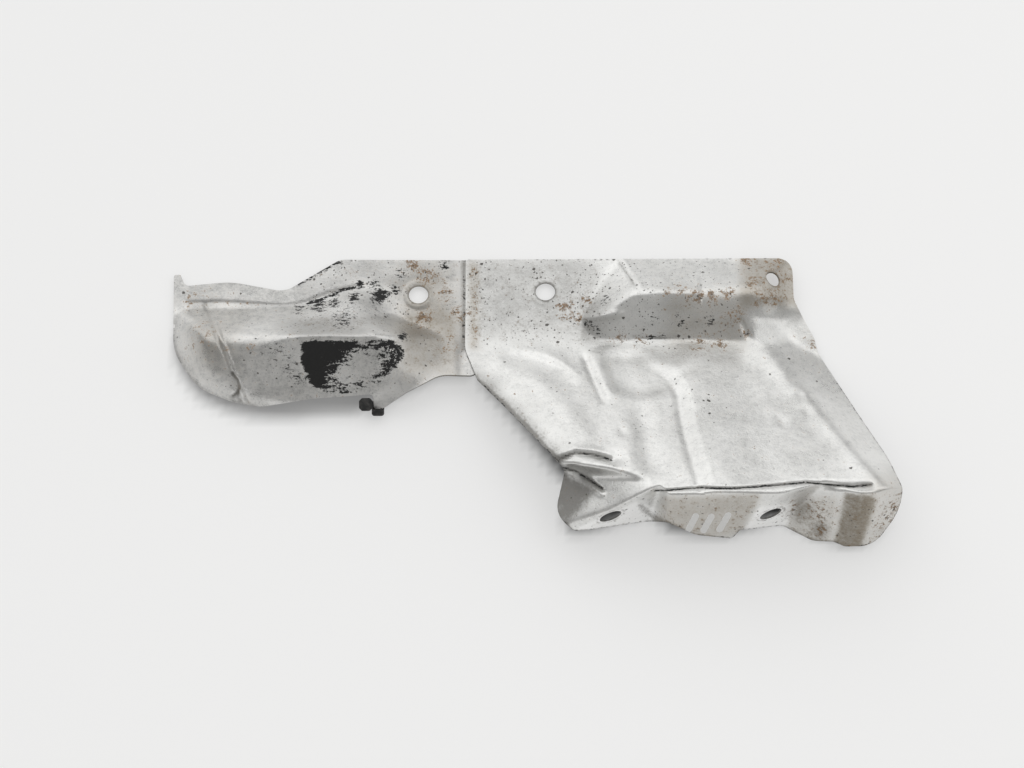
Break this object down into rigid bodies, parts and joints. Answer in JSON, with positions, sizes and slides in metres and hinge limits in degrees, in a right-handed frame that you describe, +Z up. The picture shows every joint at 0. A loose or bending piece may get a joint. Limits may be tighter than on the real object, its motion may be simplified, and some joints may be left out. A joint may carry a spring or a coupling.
{
  "type": "engine heat shield",
  "caption": "Pressed sheet heat shield with a sloping body, folded skirt and bolt holes, lapped to a ridged side sheet.",
  "frame": {"origin": "on the table under the middle of the part as it lies", "axes": "+X along the back edge towards the corner tab, +Y towards the back edge, +Z up"},
  "size_m": [0.3248, 0.1426, 0.0439],
  "materials": {
    "left_sheet": "dull aluminised coating, stained",
    "right_sheet": "satin aluminised coating, speckled",
    "clip": "matt black"
  },
  "bodies": {
    "root": {"left_shield": "left_sheet", "right_shield": "right_sheet", "edge_clip": "clip"}
  },
  "joints": []
}
